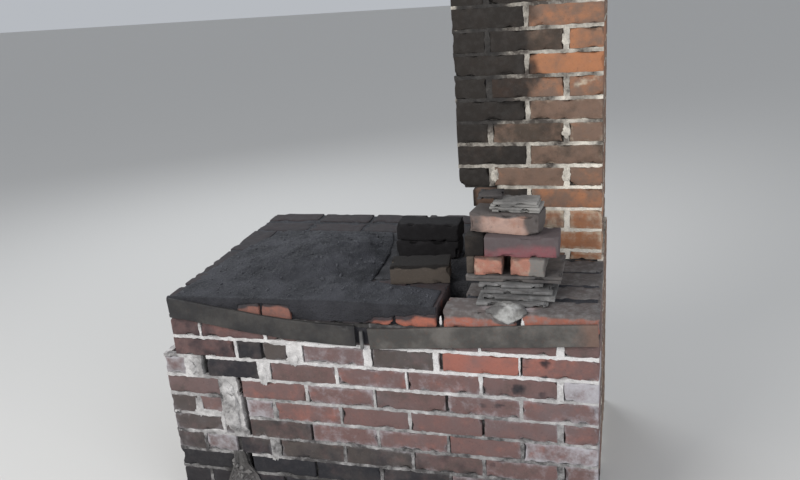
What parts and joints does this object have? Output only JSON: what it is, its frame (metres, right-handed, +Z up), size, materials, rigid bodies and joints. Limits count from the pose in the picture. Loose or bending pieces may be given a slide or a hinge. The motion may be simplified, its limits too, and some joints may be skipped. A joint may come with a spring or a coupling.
{
  "type": "blacksmith forge",
  "caption": "Raised brick blacksmith's forge with a rubble-filled hearth, iron edge bars, fire pit, loose fire bricks and a square brick chimney on the back corner.",
  "frame": {"origin": "on the floor, under the middle of the whole forge", "axes": "+Z up, +X along the front to the right, +Y from the front towards the back"},
  "size_m": [1.313, 0.884, 2.434],
  "materials": {
    "brick": "matt fired clay with pale lime mortar",
    "limed_brick": "matt fired clay bleached with lime",
    "sooty_brick": "matt, under soot and coal dust",
    "chimney_brick": "matt fired clay with cream mortar and soot",
    "baked_brick": "matt, baked brown by the fire",
    "black_brick": "matt, black with soot",
    "pale_brick": "matt, bleached by heat",
    "maroon_brick": "matt, dusted with soot",
    "rubble": "rough rubble and earth",
    "packed_ash": "matt packed ash and earth",
    "coal_dust": "matt coal dust with small lumps",
    "grey_ash": "matt wood and coal ash",
    "lime_mortar": "crumbling lime mortar",
    "old_iron": "dull oxidised flat iron with dust and rust",
    "slate": "split slate with dust"
  },
  "bodies": {
    "root": {"front_wall": "brick", "cracked_corner": "limed_brick", "left_wall": "brick", "right_wall": "brick", "back_wall": "brick", "rubble_core": "rubble", "top_bricks_front_left": "sooty_brick", "top_bricks_front_middle": "sooty_brick", "top_bricks_front_right": "sooty_brick", "top_bricks_left": "sooty_brick", "top_bricks_right": "sooty_brick", "top_bricks_back": "sooty_brick", "hearth_bed": "packed_ash", "coal_heap": "coal_dust", "ash_heap": "grey_ash", "mortar_spill": "lime_mortar", "edge_bar_left": "old_iron", "edge_bar_right": "old_iron", "gap_strip": "old_iron", "chimney_base": "brick", "chimney_front": "chimney_brick", "chimney_left": "chimney_brick", "chimney_right": "chimney_brick", "chimney_back": "chimney_brick", "fire_brick": "baked_brick", "fireback_lower": "black_brick", "fireback_upper": "black_brick", "flat_bars": "old_iron", "slate_plate": "slate", "pile_brick_low_left": "pale_brick", "pile_brick_low_right": "pale_brick", "pile_slip": "sooty_brick", "pile_bat": "black_brick", "pile_brick_middle": "maroon_brick", "pile_brick_top": "pale_brick", "pile_slate_lower": "slate", "pile_slate_middle": "slate", "pile_slate_upper": "slate"}
  },
  "joints": []
}
